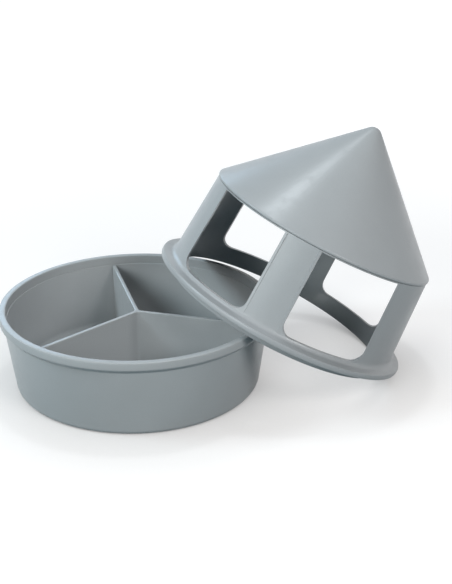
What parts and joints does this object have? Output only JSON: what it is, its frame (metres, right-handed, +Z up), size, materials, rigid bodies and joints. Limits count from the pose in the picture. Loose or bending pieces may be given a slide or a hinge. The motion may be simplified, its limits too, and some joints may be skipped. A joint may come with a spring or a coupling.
{
  "type": "grit feeder",
  "caption": "Round compartmented grit pan with a windowed, cone-roofed cover leaning against its rim.",
  "frame": {"origin": "centre of the pan's flat underside, on the floor", "axes": "+Z up along the pan's axis; +X towards the side on which the cover leans; +Y away from the viewer of the picture"},
  "size_m": [0.3162, 0.2221, 0.1818],
  "materials": {
    "pan_plastic": "satin",
    "divider_plastic": "satin",
    "ring_plastic": "satin",
    "roof_plastic": "satin"
  },
  "bodies": {
    "base": {"pan": "pan_plastic", "divider": "divider_plastic"},
    "cover": {"window_ring": "ring_plastic", "roof": "roof_plastic"}
  },
  "joints": [
    {"name": "cover_lift", "type": "slide", "parent": "base", "child": "cover", "axis": [0, 0, 1], "range_m": [0, 0.12]}
  ]
}
